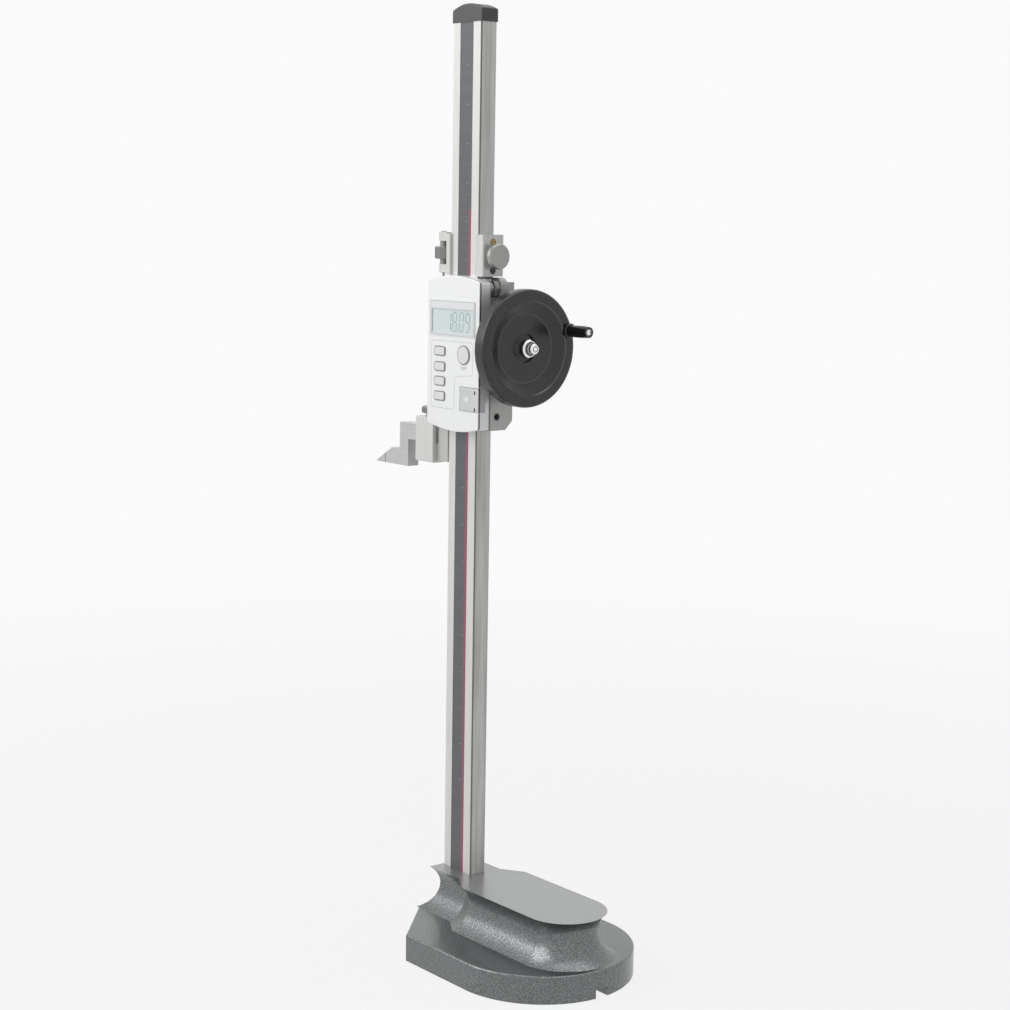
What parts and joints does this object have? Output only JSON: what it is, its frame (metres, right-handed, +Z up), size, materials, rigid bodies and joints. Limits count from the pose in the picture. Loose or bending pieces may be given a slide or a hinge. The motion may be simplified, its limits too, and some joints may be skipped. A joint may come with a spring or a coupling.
{
  "type": "digital height gauge",
  "caption": "Height gauge with a coved cast base, a rectangular column, a rack-driven display slide with a handwheel, fine-adjustment clamp and an offset scriber.",
  "frame": {"origin": "on the underside of the base, below the middle of the column", "axes": "+Z up along the column, +X along the display face towards the round end of the base and the handwheel, +Y to the back where the rack lies"},
  "size_m": [0.2462, 0.126, 0.635],
  "materials": {
    "cast_base": "hammertone enamel, glossy",
    "column_steel": "ground and satin chromed, brushed along its length",
    "strip_film": "printed film, matt",
    "rack_steel": "milled steel",
    "screw_steel": "blackened steel",
    "cap_black": "matt moulded plastic",
    "slide_steel": "ground and satin chromed",
    "housing_metal": "satin chromed",
    "brass": "machined brass",
    "bronze": "bearing bronze",
    "head_shell": "fine pearl silver lacquer",
    "bezel_white": "printed film, glossy",
    "lcd_face": "pale blue-green display glass",
    "board_green": "solder mask",
    "switch_metal": "spring steel domes",
    "cell_steel": "nickel plated",
    "tray_plastic": "matt moulded plastic",
    "key_silver": "satin pale silver",
    "door_silver": "satin pale silver",
    "port_rubber": "soft grey rubber",
    "wheel_black": "satin black powder coat",
    "grip_black": "turned black plastic",
    "bright_chrome": "polished chrome",
    "knob_steel": "turned, satin nickel",
    "knurl_steel": "knurled, satin nickel",
    "clamp_steel": "satin chromed",
    "blade_steel": "ground tool steel",
    "carbide": "ground carbide"
  },
  "bodies": {
    "base": {"base_casting": "cast_base", "column_screws": "screw_steel", "column": "column_steel", "scale_strip": "strip_film", "gear_rack": "rack_steel", "rack_screws": "screw_steel", "column_cap": "cap_black", "cap_screw": "screw_steel"},
    "carriage": {"slider_body": "slide_steel", "gib_strip": "brass", "gib_screws": "screw_steel", "drive_housing": "housing_metal", "join_screws": "screw_steel", "drive_cover": "housing_metal", "cover_screws": "screw_steel", "axle_bushes": "bronze", "roller_pin": "rack_steel", "fine_screw": "rack_steel", "sensor_board": "board_green", "display_housing": "head_shell", "display_screws": "screw_steel", "lcd_panel": "lcd_face", "lcd_bezel": "bezel_white", "circuit_board": "board_green", "switch_domes": "switch_metal", "battery": "cell_steel", "battery_tray": "tray_plastic", "battery_contact": "switch_metal", "scriber_clamp": "clamp_steel", "scriber_shoe": "brass"},
    "handwheel_set": {"pinion": "rack_steel", "pinion_axle": "rack_steel", "handwheel": "wheel_black", "wheel_nut": "bright_chrome", "handle_collar": "grip_black", "handle_screw": "bright_chrome"},
    "grip": {"handle_grip": "grip_black"},
    "roller": {"thumb_roller": "knurl_steel"},
    "bracket": {"clamp_block": "clamp_steel", "clamp_shoe": "brass", "clamp_screw_lower": "screw_steel", "clamp_screw_upper": "brass"},
    "lock": {"lock_knob": "knob_steel"},
    "nut": {"fine_nut": "knurl_steel"},
    "blade": {"scriber": "blade_steel", "carbide_tip": "carbide"},
    "blade_knob": {"scriber_knob": "knurl_steel"},
    "power_button": {"power_key": "key_silver"},
    "button_1": {"key_1": "key_silver"},
    "button_2": {"key_2": "key_silver"},
    "button_3": {"key_3": "key_silver"},
    "button_4": {"key_4": "key_silver"},
    "door": {"battery_door": "door_silver"},
    "port_plug": {"port_cover": "port_rubber"}
  },
  "joints": [
    {"name": "carriage_slide", "type": "slide", "parent": "base", "child": "carriage", "axis": [0, 0, 1], "range_m": [-0.305, 0.128]},
    {"name": "handwheel_spin", "type": "hinge", "parent": "carriage", "child": "handwheel_set", "pos_m": [0.04, 0.0115, 0.4118], "axis": [1, 0, 0], "continuous": true},
    {"name": "grip_spin", "type": "hinge", "parent": "handwheel_set", "child": "grip", "pos_m": [0.06, 0.0448, 0.4228], "axis": [1, 0, 0], "continuous": true},
    {"name": "roller_spin", "type": "hinge", "parent": "carriage", "child": "roller", "pos_m": [0.02065, 0.00145, 0.4506], "axis": [0, 1, 0], "continuous": true},
    {"name": "bracket_slide", "type": "slide", "parent": "carriage", "child": "bracket", "axis": [0, 0, 1], "range_m": [0, 0.00798]},
    {"name": "nut_spin", "type": "hinge", "parent": "bracket", "child": "nut", "pos_m": [-0.0242, -0.0054, 0.47285], "axis": [0, 0, 1], "range_deg": [0, 4110]},
    {"name": "lock_turn", "type": "hinge", "parent": "bracket", "child": "lock", "pos_m": [0.02675, 0, 0.4714], "axis": [1, 0, 0], "range_deg": [0, 270]},
    {"name": "blade_slide", "type": "slide", "parent": "carriage", "child": "blade", "axis": [1, 0, 0], "range_m": [-0.01, 0.0013]},
    {"name": "blade_knob_turn", "type": "hinge", "parent": "carriage", "child": "blade_knob", "pos_m": [-0.04075, 0, 0.365], "axis": [0, 0, 1], "range_deg": [0, 270]},
    {"name": "door_slide", "type": "slide", "parent": "carriage", "child": "door", "axis": [1, 0, 0], "range_m": [0, 0.009]},
    {"name": "port_plug_pull", "type": "slide", "parent": "carriage", "child": "port_plug", "axis": [-1, 0, 0], "range_m": [0, 0.004]},
    {"name": "power_press", "type": "slide", "parent": "carriage", "child": "power_button", "axis": [0, 1, 0], "range_m": [0, 0.0008], "stiffness_N_per_m": 600, "springref_m": -0.0005},
    {"name": "key_1_press", "type": "slide", "parent": "carriage", "child": "button_1", "axis": [0, 1, 0], "range_m": [0, 0.0008], "stiffness_N_per_m": 600, "springref_m": -0.0005},
    {"name": "key_2_press", "type": "slide", "parent": "carriage", "child": "button_2", "axis": [0, 1, 0], "range_m": [0, 0.0008], "stiffness_N_per_m": 600, "springref_m": -0.0005},
    {"name": "key_3_press", "type": "slide", "parent": "carriage", "child": "button_3", "axis": [0, 1, 0], "range_m": [0, 0.0008], "stiffness_N_per_m": 600, "springref_m": -0.0005},
    {"name": "key_4_press", "type": "slide", "parent": "carriage", "child": "button_4", "axis": [0, 1, 0], "range_m": [0, 0.0008], "stiffness_N_per_m": 600, "springref_m": -0.0005}
  ],
  "couplings": [
    {"joint": "handwheel_spin", "follows": "carriage_slide", "rad_per_m": 166.67},
    {"joint": "roller_spin", "follows": "carriage_slide", "rad_per_m": -178.57},
    {"joint": "nut_spin", "follows": "bracket_slide", "rad_per_m": 8976}
  ]
}
